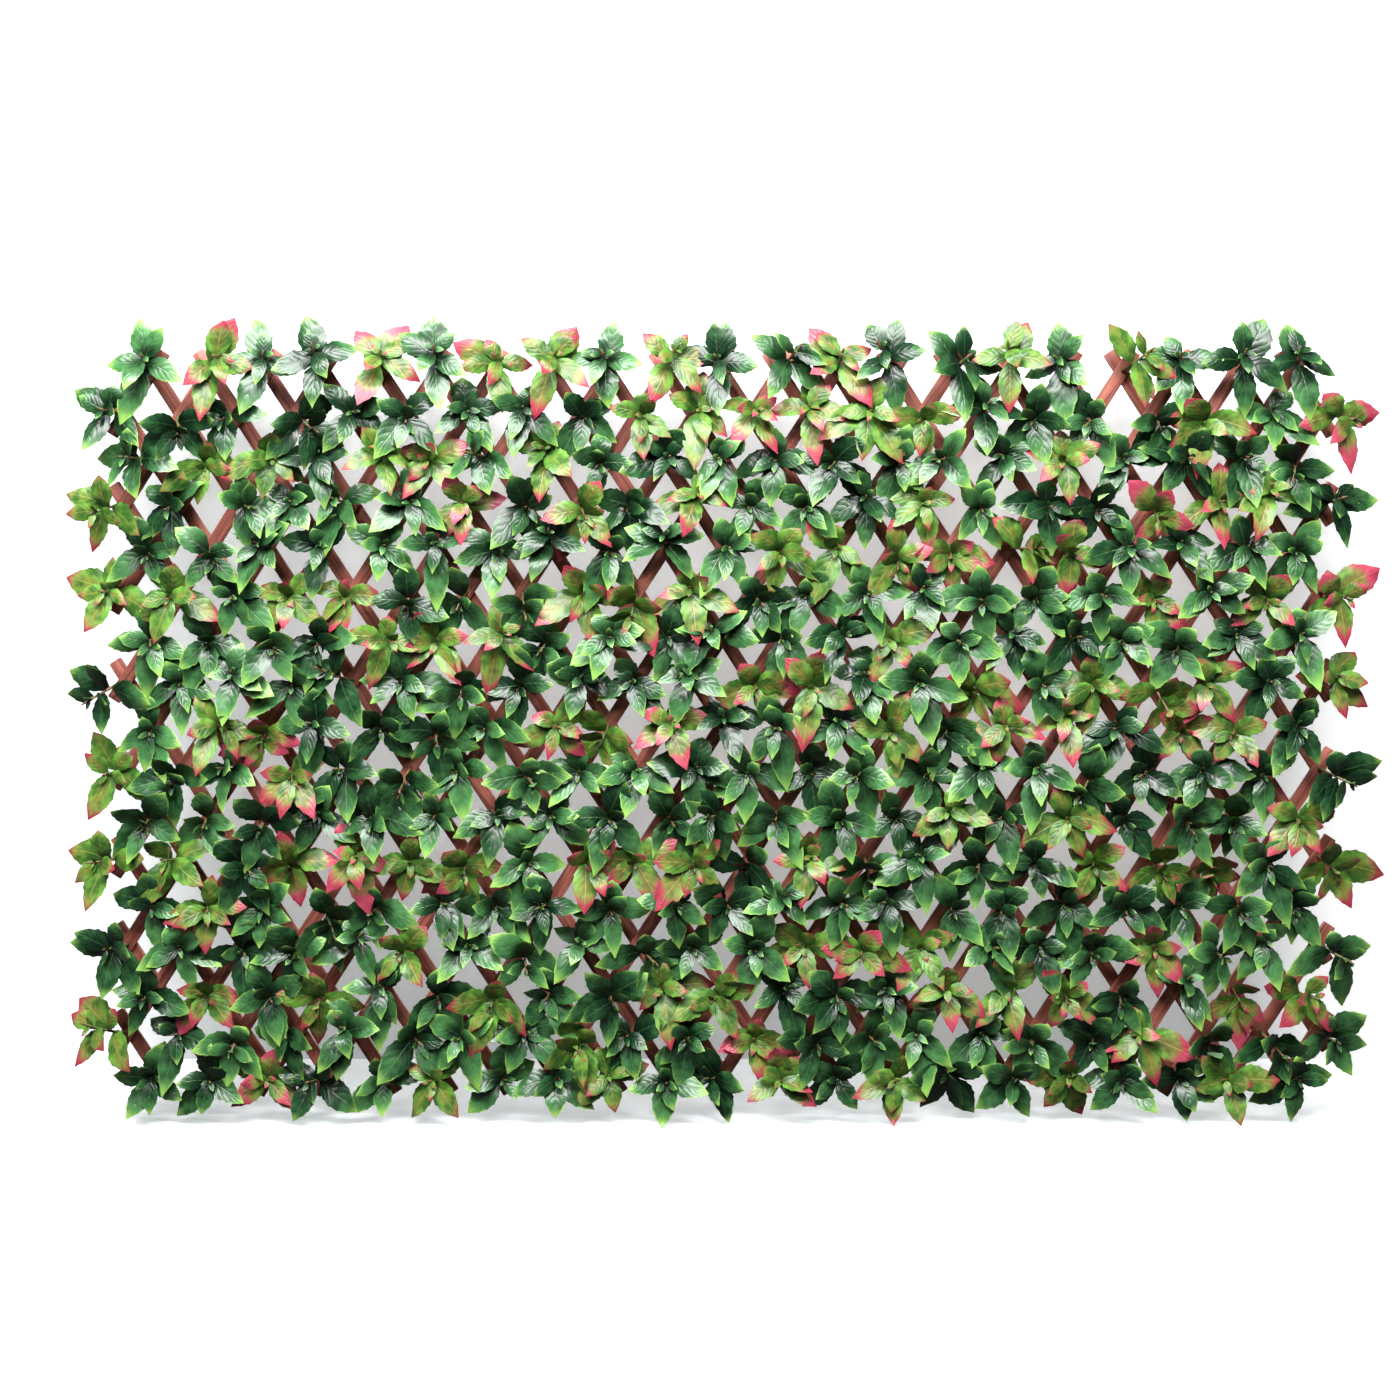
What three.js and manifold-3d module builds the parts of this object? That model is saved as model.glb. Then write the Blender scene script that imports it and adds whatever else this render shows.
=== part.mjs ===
// Artificial hedge trellis: an expanding scissor lattice of flat stained slats in
// two layers, riveted at every crossing, with a whorl of leaves on a short stem
// at each rivet of the front layer.
//
// Millimetres. X runs along the fence, +Z is up and the leaves face -Y.
// The origin is on the back face of the middle back slat, at the panel's centre,
// so the whole panel lies in front of the plane y = 0.
//
// A crossing has a column and a row, counted from the top left in half diamonds.
// Column plus row is odd at a crossing. Front slats climb to the right and keep
// column plus row, back slats climb to the left and keep column minus row.

import * as THREE from 'three';
import { mergeVertices } from 'three/addons/utils/BufferGeometryUtils.js';
import Module from 'manifold-3d';

const wasm = await Module();
wasm.setup();

// Lattice
const crossingPitch = 71; // rivet to rivet along a slat
const slatLeanDegrees = 57.2; // slat against the ground, as it stands in the photograph
const diamondCountAcross = 21;
const diamondCountUp = 8;

// Slats
const slatWidth = 18;
const slatThickness = 5;
const slatOverhang = 31; // past the last rivet
const layerGap = 0.3; // running gap between the two layers

// Rivet pins of the hinges that carry the fold, one piece with the front slats
const pinRadius = 2.2;
const pinReach = 3; // into the back slat
const pinClearance = 0.3;
const pinSides = 6;

// Leaf whorls, which stand at two heights so that neighbours pass in the fold
const lowStemLength = 20;
const stemFootRadius = 2.4;
const stemTopRadius = 1.6;
const stemSink = 1; // into the slat it grows from
const whorlThickness = 4; // at the middle, and nothing at the leaf edges
const shoulderRise = 7; // widest part of a leaf, in front of the stem's top
const tipRise = 11; // leaf tip, in front of the stem's top
const whorlGap = 4; // from the low whorls' tips to the high whorls' underside
const leafHalfWidthShare = 0.15; // of the crossing pitch
const shoulderShare = 0.42; // of a leaf's reach, where it is widest

// Leaves of one whorl: the direction from the slat's upward run, turning to the
// left, and the reach from the stem as a share of the crossing pitch.
const innerLeafShares = [[62, 0.62], [167, 0.58], [242, 0.62], [347, 0.58]];
const topLeafShares = [[20, 0.88], [75, 0.62], [167, 0.58], [242, 0.62]];
const leftLeafShares = [[62, 0.62], [122.8, 0.96], [185, 0.58], [250, 0.62], [347, 0.58]];
const halfTurnDegrees = 180;

const slatLean = THREE.MathUtils.degToRad(slatLeanDegrees);
const lastColumn = 2 * diamondCountAcross;
const lastRow = 2 * diamondCountUp;
const columnStep = crossingPitch * Math.cos(slatLean);
const rowStep = crossingPitch * Math.sin(slatLean);
const middleColumn = diamondCountAcross;
const middleRow = diamondCountUp;
const backLayerY = -slatThickness / 2;
const frontLayerY = -slatThickness - layerGap - slatThickness / 2;
const highStemLength = lowStemLength + tipRise + whorlGap + whorlThickness;

const leafGreen = { color: 0x3f7a45, roughness: 0.42, metalness: 0 };
const stainedWood = { color: 0x7a4038, roughness: 0.55, metalness: 0 };

// Solids and meshes

function solidFrom(positions, triangles) {
  return new wasm.Manifold(new wasm.Mesh({
    numProp: 3,
    vertProperties: new Float32Array(positions),
    triVerts: new Uint32Array(triangles),
  }));
}

function solidFromGeometry(geometry) {
  geometry.deleteAttribute('normal');
  geometry.deleteAttribute('uv');
  const merged = mergeVertices(geometry);
  return solidFrom(merged.attributes.position.array, merged.index.array);
}

function geometryFrom(solid) {
  const mesh = solid.getMesh();
  const geometry = new THREE.BufferGeometry();
  geometry.setAttribute('position', new THREE.BufferAttribute(mesh.vertProperties, 3));
  geometry.setIndex(new THREE.BufferAttribute(mesh.triVerts, 1));
  geometry.computeVertexNormals();
  return geometry;
}

// Lattice layout

function sequenceName(prefix, number) {
  return prefix + String(number).padStart(2, '0');
}

// Front slats keep column + row, back slats keep column - row.
function frontSlat(sum) {
  const first = Math.max(0, sum - lastRow);
  const last = Math.min(lastColumn, sum);
  return { key: sum, first, last, rowOf: (column) => sum - column };
}

function backSlat(difference) {
  const first = Math.max(0, difference);
  const last = Math.min(lastColumn, difference + lastRow);
  return { key: difference, first, last, rowOf: (column) => column - difference };
}

function slatFamily(makeSlat, firstKey, lastKey) {
  const slats = [];
  for (let key = firstKey; key <= lastKey; key += 2) slats.push(makeSlat(key));
  return slats;
}

const frontSlats = slatFamily(frontSlat, 1, lastColumn + lastRow - 1);
const backSlats = slatFamily(backSlat, 1 - lastRow, lastColumn - 1);
const rootSlat = backSlats[Math.floor(backSlats.length / 2)];

// Place of a crossing along its slat, from the slat's middle.
function alongSlat(slat, column) {
  return (column - (slat.first + slat.last) / 2) * crossingPitch;
}

function crossingColumn(back, front) {
  return (back.key + front.key) / 2;
}

function crosses(back, front) {
  const column = crossingColumn(back, front);
  return column >= Math.max(back.first, front.first) && column <= Math.min(back.last, front.last);
}

function makeHinge(back, front) {
  const column = crossingColumn(back, front);
  return { back, front, column, fromMiddle: Math.abs(front.rowOf(column) - middleRow) };
}

function nearestMiddle(candidates) {
  return candidates.reduce((best, next) => (next.fromMiddle < best.fromMiddle ? next : best));
}

// The hinges form a tree. The middle back slat carries every front slat that
// crosses it. Each other back slat hangs on one of those, at the crossing that is
// nearest the middle row, and the outermost front slats hang on a back slat in turn.
function findHinges() {
  const innerFronts = frontSlats.filter((front) => crosses(rootSlat, front));
  const outerFronts = frontSlats.filter((front) => !crosses(rootSlat, front));
  const otherBacks = backSlats.filter((back) => back !== rootSlat);
  const onRoot = innerFronts.map((front) => makeHinge(rootSlat, front));
  const onInner = otherBacks.map((back) => {
    const fronts = innerFronts.filter((front) => crosses(back, front));
    return nearestMiddle(fronts.map((front) => makeHinge(back, front)));
  });
  const onOuter = outerFronts.map((front) => {
    const backs = otherBacks.filter((back) => crosses(back, front));
    return nearestMiddle(backs.map((back) => makeHinge(back, front)));
  });
  return [...onRoot, ...onInner, ...onOuter];
}

const hinges = findHinges();

// Leaf whorl on its stem, with the stem's foot at the origin and growing towards -Y.
// Each leaf has a tip and two shoulders, the outline runs round through all of them,
// and the front and back faces close on it as a thin edge.
function whorlOutline(leaves, stemLength) {
  const outline = [];
  for (const [degrees, reachShare] of leaves) {
    const turn = THREE.MathUtils.degToRad(degrees);
    const reach = reachShare * crossingPitch;
    const halfWidth = leafHalfWidthShare * crossingPitch;
    const shoulderReach = Math.hypot(shoulderShare * reach, halfWidth);
    const shoulderTurn = Math.atan2(halfWidth, shoulderShare * reach);
    const shoulderHeight = stemLength + shoulderRise;
    outline.push({ turn: turn - shoulderTurn, reach: shoulderReach, height: shoulderHeight });
    outline.push({ turn, reach, height: stemLength + tipRise });
    outline.push({ turn: turn + shoulderTurn, reach: shoulderReach, height: shoulderHeight });
  }
  return outline;
}

function makeWhorl(leaves, stemLength) {
  const stemSides = 3;
  const positions = [];
  const triangles = [];
  const addPoint = (turn, reach, height) => {
    positions.push(reach * Math.cos(turn), -height, reach * Math.sin(turn));
    return positions.length / 3 - 1;
  };
  const outline = whorlOutline(leaves, stemLength);
  const rimTurns = outline.map((point) => point.turn);
  const rim = outline.map((point) => addPoint(point.turn, point.reach, point.height));
  const ringTurns = [];
  for (let side = 0; side < stemSides; side += 1) {
    ringTurns.push(rimTurns[0] + (side / stemSides) * 2 * Math.PI);
  }
  const collar = ringTurns.map((turn) => addPoint(turn, stemTopRadius, stemLength));
  const foot = ringTurns.map((turn) => addPoint(turn, stemFootRadius, -stemSink));
  const middle = addPoint(0, 0, stemLength + whorlThickness);

  rim.forEach((point, index) => triangles.push(middle, point, rim[(index + 1) % rim.length]));

  // The underside joins the rim to the stem's collar, stepping whichever is behind.
  let rimStep = 0;
  let ringStep = 0;
  while (rimStep < rim.length || ringStep < stemSides) {
    const rimHere = rim[rimStep % rim.length];
    const ringHere = collar[ringStep % stemSides];
    const nextRim = rimStep + 1 < rim.length ? rimTurns[rimStep + 1] : rimTurns[0] + 2 * Math.PI;
    const nextRing = ringTurns[0] + ((ringStep + 1) / stemSides) * 2 * Math.PI;
    if (rimStep < rim.length && (ringStep === stemSides || nextRim <= nextRing)) {
      triangles.push(ringHere, rim[(rimStep + 1) % rim.length], rimHere);
      rimStep += 1;
    } else {
      triangles.push(ringHere, collar[(ringStep + 1) % stemSides], rimHere);
      ringStep += 1;
    }
  }

  for (let side = 0; side < stemSides; side += 1) {
    const next = (side + 1) % stemSides;
    triangles.push(foot[side], foot[next], collar[next]);
    triangles.push(foot[side], collar[next], collar[side]);
  }
  triangles.push(foot[0], foot[2], foot[1]);
  return solidFrom(positions, triangles);
}

function turnedHalf(leaves) {
  return leaves.map(([degrees, reachShare]) => [degrees + halfTurnDegrees, reachShare]);
}

function leavesAt(column, row) {
  if (column === 0) return leftLeafShares;
  if (column === lastColumn) return turnedHalf(leftLeafShares);
  if (row === 0) return topLeafShares;
  if (row === lastRow) return turnedHalf(topLeafShares);
  return innerLeafShares;
}

// Slats

function makeStrip(slat) {
  const length = (slat.last - slat.first) * crossingPitch + 2 * slatOverhang;
  return solidFromGeometry(new THREE.BoxGeometry(length, slatThickness, slatWidth));
}

function makePin() {
  const length = pinReach + layerGap + slatThickness / 2;
  const pin = solidFromGeometry(new THREE.CylinderGeometry(pinRadius, pinRadius, length, pinSides));
  return pin.translate([0, length / 2, 0]);
}

function makePocket() {
  const radius = (pinRadius + pinClearance) / Math.cos(Math.PI / pinSides);
  const depth = pinReach + pinClearance;
  const pocket = solidFromGeometry(new THREE.CylinderGeometry(radius, radius, 2 * depth, pinSides));
  return pocket.translate([0, -slatThickness / 2, 0]);
}

function makeFrontSolid(slat) {
  let solid = makeStrip(slat);
  const isHigh = ((slat.key - 1) / 2) % 2 === 0;
  const stemLength = isHigh ? highStemLength : lowStemLength;
  for (let column = slat.first; column <= slat.last; column += 1) {
    const whorl = makeWhorl(leavesAt(column, slat.rowOf(column)), stemLength);
    solid = solid.add(whorl.translate([alongSlat(slat, column), -slatThickness / 2, 0]));
  }
  for (const hinge of hinges.filter(({ front }) => front === slat)) {
    solid = solid.add(makePin().translate([alongSlat(slat, hinge.column), 0, 0]));
  }
  return solid;
}

function makeBackSolid(slat) {
  let solid = makeStrip(slat);
  for (const hinge of hinges.filter(({ back }) => back === slat)) {
    solid = solid.subtract(makePocket().translate([alongSlat(slat, hinge.column), 0, 0]));
  }
  return solid;
}

function placeSlat(name, slat, solid, finish, lean, layerY) {
  const mesh = new THREE.Mesh(geometryFrom(solid), new THREE.MeshStandardMaterial(finish));
  const column = (slat.first + slat.last) / 2;
  const row = (slat.rowOf(slat.first) + slat.rowOf(slat.last)) / 2;
  mesh.name = name;
  mesh.position.set((column - middleColumn) * columnStep, layerY, (middleRow - row) * rowStep);
  mesh.rotation.y = -lean;
  return mesh;
}

const trellis = new THREE.Group();
const backLayer = new THREE.Group();
const frontLayer = new THREE.Group();
trellis.add(backLayer, frontLayer);

backSlats.forEach((slat, index) => {
  const name = sequenceName('back_slat_', index + 1);
  backLayer.add(placeSlat(name, slat, makeBackSolid(slat), stainedWood, -slatLean, backLayerY));
});
frontSlats.forEach((slat, index) => {
  const name = sequenceName('front_slat_', index + 1);
  frontLayer.add(placeSlat(name, slat, makeFrontSolid(slat), leafGreen, slatLean, frontLayerY));
});

export default trellis;
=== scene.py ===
import math

import bpy
import numpy as np
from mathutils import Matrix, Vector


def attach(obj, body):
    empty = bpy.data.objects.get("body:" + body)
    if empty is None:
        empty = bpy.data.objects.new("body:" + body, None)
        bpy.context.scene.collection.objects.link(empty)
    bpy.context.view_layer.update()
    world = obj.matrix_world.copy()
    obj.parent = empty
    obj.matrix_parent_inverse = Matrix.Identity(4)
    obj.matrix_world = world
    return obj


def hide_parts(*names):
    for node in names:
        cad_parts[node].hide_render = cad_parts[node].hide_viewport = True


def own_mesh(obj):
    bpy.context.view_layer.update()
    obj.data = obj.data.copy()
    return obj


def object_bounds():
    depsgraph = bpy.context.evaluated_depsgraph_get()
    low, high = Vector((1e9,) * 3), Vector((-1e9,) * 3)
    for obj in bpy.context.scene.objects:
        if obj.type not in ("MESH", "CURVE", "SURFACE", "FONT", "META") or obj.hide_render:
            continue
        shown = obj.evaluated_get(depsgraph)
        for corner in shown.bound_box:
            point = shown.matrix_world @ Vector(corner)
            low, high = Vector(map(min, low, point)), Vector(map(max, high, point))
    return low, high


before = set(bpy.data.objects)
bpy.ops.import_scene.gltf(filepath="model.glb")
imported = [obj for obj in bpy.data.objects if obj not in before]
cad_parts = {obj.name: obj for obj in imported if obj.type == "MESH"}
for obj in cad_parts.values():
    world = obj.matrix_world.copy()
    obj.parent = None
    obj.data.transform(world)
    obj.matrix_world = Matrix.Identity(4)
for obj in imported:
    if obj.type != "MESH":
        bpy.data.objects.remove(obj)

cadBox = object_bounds()

# Lengths are in metres. Crossing (column, row) counts from the top left, and only odd sums hold one.
lattice = {
    "pitch": 0.071,  # rivet to rivet along a slat
    "leanDegrees": 57.2,
    "lastColumn": 42,
    "lastRow": 16,
    "overhang": 0.031,
    "slatCount": 29,  # of each family
    "rootSlat": 15,  # the back slat that stands still
}
lean = math.radians(lattice["leanDegrees"])
columnStep = lattice["pitch"] * math.cos(lean)
rowStep = lattice["pitch"] * math.sin(lean)

# The places of the sprigs with red tips, read off the photograph: row, then columns.
redPlaces = {
    0: (3, 9, 13, 15, 19, 25, 31, 35),
    1: (18, 20, 22, 24, 26, 28, 38, 42),
    2: (3, 5, 9, 11, 15, 33),
    3: (0, 12, 16, 20, 28, 36, 38, 40),
    4: (23, 25, 27, 29, 31, 33),
    5: (0, 2, 6, 8, 16, 18, 20, 36, 40, 42),
    6: (9, 11, 13, 27),
    7: (22, 24, 30, 34, 36, 38, 42),
    8: (3, 5, 15, 17, 19, 27, 31, 33, 37, 39),
    9: (0, 6),
    10: (29, 33, 41),
    11: (0, 2, 6, 8, 10, 12, 16, 18, 20, 24, 34, 36, 38, 42),
    12: (3,),
    13: (10, 24, 26, 28, 36),
    14: (3, 7, 13, 19, 21, 29, 31, 33, 39, 41),
    15: (0, 16, 22, 36),
    16: (5, 11, 17, 23, 27, 33, 39),
}


def crossingPoint(column, row):
    # centre of a crossing in the plane of the lattice
    x = (column - lattice["lastColumn"] / 2) * columnStep
    z = (lattice["lastRow"] / 2 - row) * rowStep
    return x, z


# Camera

cameraLook = {
    "foot": (0.0141, 0.2488),  # x and z of the point of the panel that it faces
    "distance": 2.4,
    "pitchDegrees": 1.4,
    "lens": 45.5,
    "shift": (-0.0236, -0.0829),
}
cameraData = bpy.data.cameras.new("camera")
cameraData.sensor_width = 36
cameraData.lens = cameraLook["lens"]
cameraData.shift_x, cameraData.shift_y = cameraLook["shift"]
camera = bpy.data.objects.new("camera", cameraData)
camera.location = (cameraLook["foot"][0], -cameraLook["distance"], cameraLook["foot"][1])
camera.rotation_euler = (math.radians(90 - cameraLook["pitchDegrees"]), 0, 0)
bpy.context.collection.objects.link(camera)
bpy.context.scene.camera = camera
print("camera placed")


# Shader help


class Wire:
    # a node's output that takes part in sums
    def __init__(self, paint, socket):
        self.paint = paint
        self.socket = socket

    def beside(self, name):
        # another output of the same node
        return Wire(self.paint, self.socket.node.outputs[name])

    def sum(self, operation, first, second):
        return self.paint.add("ShaderNodeMath", {"operation": operation}, {0: first, 1: second})

    def __add__(self, other):
        return self.sum("ADD", self, other)

    def __sub__(self, other):
        return self.sum("SUBTRACT", self, other)

    def __rsub__(self, other):
        return self.sum("SUBTRACT", other, self)

    def __mul__(self, other):
        return self.sum("MULTIPLY", self, other)

    def __pow__(self, other):
        return self.sum("POWER", self, other)

    __radd__ = __add__
    __rmul__ = __mul__


class Paint:
    # one material, or the world, and its nodes
    def __init__(self, name, store=bpy.data.materials, output="ShaderNodeOutputMaterial"):
        self.material = store.new(name)
        self.material.use_nodes = True
        self.tree = self.material.node_tree
        self.tree.nodes.clear()
        self.output = self.tree.nodes.new(output)

    def add(self, kind, settings=None, sockets=None, out=0):
        node = self.tree.nodes.new(kind)
        for key, value in (settings or {}).items():
            setattr(node, key, value)
        for key, value in (sockets or {}).items():
            if isinstance(value, Wire):
                self.tree.links.new(value.socket, node.inputs[key])
            else:
                node.inputs[key].default_value = value
        return Wire(self, node.outputs[out])

    def step(self, value, low, high):
        # 0 below low, 1 above high, with a soft slope between
        sockets = {"Value": value, "From Min": low, "From Max": high}
        return self.add("ShaderNodeMapRange", {"interpolation_type": "SMOOTHSTEP"}, sockets)

    def blend(self, share, first, second):
        # a colour between two colours
        sockets = {0: share, 6: asColour(first), 7: asColour(second)}
        return self.add("ShaderNodeMix", {"data_type": "RGBA"}, sockets, out=2)

    def noise(self, place, scale, detail=2.0, roughness=0.5, distortion=0.0):
        sockets = {"Vector": place, "Scale": scale, "Detail": detail, "Roughness": roughness,
                   "Distortion": distortion}
        return self.add("ShaderNodeTexNoise", {}, sockets)

    def stretched(self, place, scale, shift=(0, 0, 0)):
        return self.add("ShaderNodeMapping", {}, {"Vector": place, "Scale": scale, "Location": shift})

    def named(self, name):
        # a number that the mesh carries
        return self.add("ShaderNodeAttribute", {"attribute_name": name}, out="Fac")

    def objectPlace(self):
        return self.add("ShaderNodeTexCoord", out="Object")

    def finish(self, sockets, height, bumpStrength, bumpDistance):
        bump = {"Strength": bumpStrength, "Distance": bumpDistance, "Height": height}
        sockets["Normal"] = self.add("ShaderNodeBump", {}, bump)
        surface = self.add("ShaderNodeBsdfPrincipled", {}, sockets)
        self.tree.links.new(surface.socket, self.output.inputs["Surface"])
        return self.material


def larger(first, second):
    return first.sum("MAXIMUM", first, second)


def asColour(value):
    return value if isinstance(value, Wire) else (*value, 1)


def linear(level):
    # the sRGB curve: straight near black, a power above
    return ((level / 255 + 0.055) / 1.055) ** 2.4 if level > 10 else level / 3295


def srgb(red, green, blue):
    # a colour as it reads on screen, 0 to 255, as the shader wants it
    return linear(red), linear(green), linear(blue)


# Materials

leafRelief = {
    "veinPairs": 5.6,
    "veinSweep": 1.9,  # how far a side vein runs forward, in vein spacings
    "veinCurve": 1.25,
    "veinWander": 0.7,
    "veinBand": (0.0, 0.26),
    "ribBand": (0.015, 0.085),
    "bumpStrength": 0.38,
    "bumpDistance": 0.0008,
}


def leafCoordinates(paint):
    # along runs from stalk to tip, off is the distance from the midrib as a share of the half width
    place = paint.add("ShaderNodeUVMap", {"uv_map": "leafMap"})
    along = paint.add("ShaderNodeSeparateXYZ", {}, {0: place})
    across = along.beside("Y")
    off = paint.add("ShaderNodeMath", {"operation": "ABSOLUTE"}, {0: across * 2 - 1})
    return along, off


def leafVeins(paint, along, off, grain):
    # pillow: 0 on the side veins and 1 half way between them; veins curve forward to the margin
    sweep = off ** leafRelief["veinCurve"] * leafRelief["veinSweep"]
    veins = along * leafRelief["veinPairs"] - sweep + grain * leafRelief["veinWander"]
    # the 20 keeps the sum above zero
    pillow = paint.add("ShaderNodeMath", {"operation": "PINGPONG"}, {0: veins + 20, 1: 0.5}) * 2
    rib = 1 - paint.step(off, *leafRelief["ribBand"])
    vein = 1 - paint.step(pillow, *leafRelief["veinBand"])
    return pillow, rib, vein


def finishLeaf(paint, sockets, pillow, rib, off, fine):
    # round pads between sunken veins, lower towards the margin
    height = pillow * (2 - pillow) * (1 - off * 0.6) - rib * 0.7 + fine * 0.15
    return paint.finish(sockets, height, leafRelief["bumpStrength"], leafRelief["bumpDistance"])


greenPaint = {
    # base is the near-black of the dark heart at the foot of the leaf: partly the leaf's own darker green,
    # partly painted shade
    "base": srgb(2, 20, 8),
    "deep": srgb(12, 46, 24),
    "mid": srgb(78, 134, 76),
    "vein": srgb(88, 142, 78),
    "lime": srgb(162, 210, 96),
    "under": srgb(78, 120, 72),
    "patchScale": 55,
    "grainScale": 520,
    "bodyBand": (0.45, 1.0),
    # the dark heart is partly the leaf's own darker green and partly painted shade, the shadow in the
    # centre of the pick
    "heartTintAndShadeBand": (0.30, 0.88),  # how far the dark heart reaches
    "edgeBand": (1.38, 1.82),
    "tipBand": (0.87, 1.18),
    "teeth": 13,
    "heartTintAndShadeShare": 0.95,
    "limeShare": 0.84,
    "underShare": 0.6,
    "roughness": 0.23,
    "ior": 1.43,
    "coat": 0.06,
    "coatRoughness": 0.2,
}


def makeGreenLeaf():
    look = greenPaint
    paint = Paint("green leaf")
    along, off = leafCoordinates(paint)
    place = paint.objectPlace()
    tone = paint.named("leafTone")
    under = paint.named("underside")
    broad = paint.noise(place, look["patchScale"], 2)
    fine = paint.noise(place, look["grainScale"], 3)
    pillow, rib, vein = leafVeins(paint, along, off, broad)
    bright = paint.step(broad * 0.6 + tone * 0.4 + along * 0.3, *look["bodyBand"])
    body = paint.blend(bright, look["deep"], look["mid"])
    # dark heart at the foot of each leaf: partly its own darker green, partly painted shade for the shadow
    # in the centre of the pick
    heartTintAndShade = 1 - paint.step(along + off * 0.30 + broad * 0.25, *look["heartTintAndShadeBand"])
    body = paint.blend(heartTintAndShade * look["heartTintAndShadeShare"], body, look["base"])
    body = paint.blend(vein * 0.08 + rib * 0.22, body, look["vein"])
    teeth = paint.add("ShaderNodeMath", {"operation": "FRACT"}, {0: along * look["teeth"]})
    forward = paint.step(along, 0.2, 1.0)
    edge = off + fine * 0.10 + teeth * 0.07 + forward * 0.55 + tone * 0.3
    tip = along + fine * 0.12 + tone * 0.16
    lime = larger(paint.step(edge, *look["edgeBand"]), paint.step(tip, *look["tipBand"]))
    colour = paint.blend(lime * look["limeShare"], body, look["lime"])
    colour = paint.blend(under * look["underShare"], colour, look["under"])
    sockets = {"Base Color": colour, "Roughness": look["roughness"] + fine * 0.12 + under * 0.28,
               "IOR": look["ior"], "Coat Weight": look["coat"], "Coat Roughness": look["coatRoughness"]}
    return finishLeaf(paint, sockets, pillow, rib, off, fine)


redPaint = {
    "shade": srgb(52, 94, 34),
    "body": srgb(102, 154, 58),
    "vein": srgb(162, 178, 88),
    "flush": srgb(124, 58, 42),  # along the midrib
    "cream": srgb(194, 180, 108),  # between the body and the red
    "crimson": srgb(152, 20, 54),
    "pink": srgb(190, 72, 100),
    "under": srgb(138, 138, 84),
    # the dark heart at the foot of the leaf: partly its own darker green, partly painted shade for the
    # shadow in the centre of the pick
    "heartTintAndShade": srgb(30, 48, 16),
    "patchScale": 60,
    "grainScale": 480,
    "bodyBand": (0.35, 0.68),
    "creamBand": (0.58, 0.82),
    "tipBand": (0.74, 0.96),
    "rimBand": (1.2, 1.36),
    "blushBand": (0.5, 0.95),
    "heartTintAndShadeBand": (0.08, 0.42),
    "flushShare": 0.55,
    "creamShare": 0.2,
    "rimShare": 0.7,
    "redShare": 0.94,
    "underShare": 0.35,
    "heartTintAndShadeShare": 0.6,
    "roughness": 0.28,
    "ior": 1.43,
}


def makeRedTipLeaf():
    look = redPaint
    paint = Paint("red tip leaf")
    along, off = leafCoordinates(paint)
    place = paint.objectPlace()
    tone = paint.named("leafTone")
    under = paint.named("underside")
    broad = paint.noise(place, look["patchScale"], 2)
    fine = paint.noise(place, look["grainScale"], 3)
    pillow, rib, vein = leafVeins(paint, along, off, broad)
    body = paint.blend(paint.step(broad, *look["bodyBand"]), look["shade"], look["body"])
    inner = (1 - paint.step(off, 0.05, 0.75)) * paint.step(along, 0.02, 0.4)
    flush = inner * paint.step(broad + tone * 0.4, 0.4, 0.85)
    body = paint.blend(flush * look["flushShare"], body, look["flush"])
    body = paint.blend(vein * 0.12 + rib * 0.3, body, look["vein"])
    reach = along + off * 0.12 + (broad - 0.5) * 0.34 + (tone - 0.5) * 0.46 + fine * 0.06
    body = paint.blend(paint.step(reach, *look["creamBand"]) * look["creamShare"], body, look["cream"])
    rim = paint.step(off + fine * 0.2 + along * 0.25 + tone * 0.1, *look["rimBand"])
    red = larger(paint.step(reach, *look["tipBand"]), rim * look["rimShare"])
    blush = paint.step(fine * 0.4 + broad * 0.5 + tone * 0.4, *look["blushBand"])
    colour = paint.blend(red * look["redShare"], body, paint.blend(blush, look["crimson"], look["pink"]))
    colour = paint.blend(under * look["underShare"], colour, look["under"])
    # dark heart at the foot of each leaf: partly its own darker green, partly painted shade for the shadow
    # in the centre of the pick
    heartTintAndShade = 1 - paint.step(along + off * 0.2, *look["heartTintAndShadeBand"])
    colour = paint.blend(heartTintAndShade * look["heartTintAndShadeShare"], colour, look["heartTintAndShade"])
    sockets = {"Base Color": colour, "Roughness": look["roughness"] + fine * 0.14 + under * 0.25,
               "IOR": look["ior"]}
    return finishLeaf(paint, sockets, pillow, rib, off, fine)


stemPaint = {
    "green": srgb(74, 96, 44),
    "brown": srgb(122, 78, 52),
    "patchScale": 160,
    "patchBand": (0.38, 0.62),
    "roughness": 0.45,
}


def makeMouldedStem():
    look = stemPaint
    paint = Paint("pick stem")
    patch = paint.noise(paint.objectPlace(), look["patchScale"], 3)
    colour = paint.blend(paint.step(patch, *look["patchBand"]), look["green"], look["brown"])
    sockets = {"Base Color": colour, "Roughness": look["roughness"] + patch * 0.2}
    return paint.finish(sockets, patch, 0.4, 0.0006)


slatPaint = {
    "darkStain": srgb(122, 59, 49),
    "midStain": srgb(188, 112, 96),
    "wornStain": srgb(204, 146, 130),
    "pore": srgb(52, 22, 18),
    "cloudStretch": (5, 90, 1),  # waves a metre along, across and through the strip
    "streakStretch": (14, 620, 1),
    "hairStretch": (60, 2600, 1),
    "stainBand": (0.40, 0.65),
    "poreBand": (0.34, 0.44),
    "wearBand": (0.72, 1.05),
    "poreShare": 0.4,
    "wearShare": 0.6,
    "roughness": 0.40,
    "ior": 1.45,
}


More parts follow.
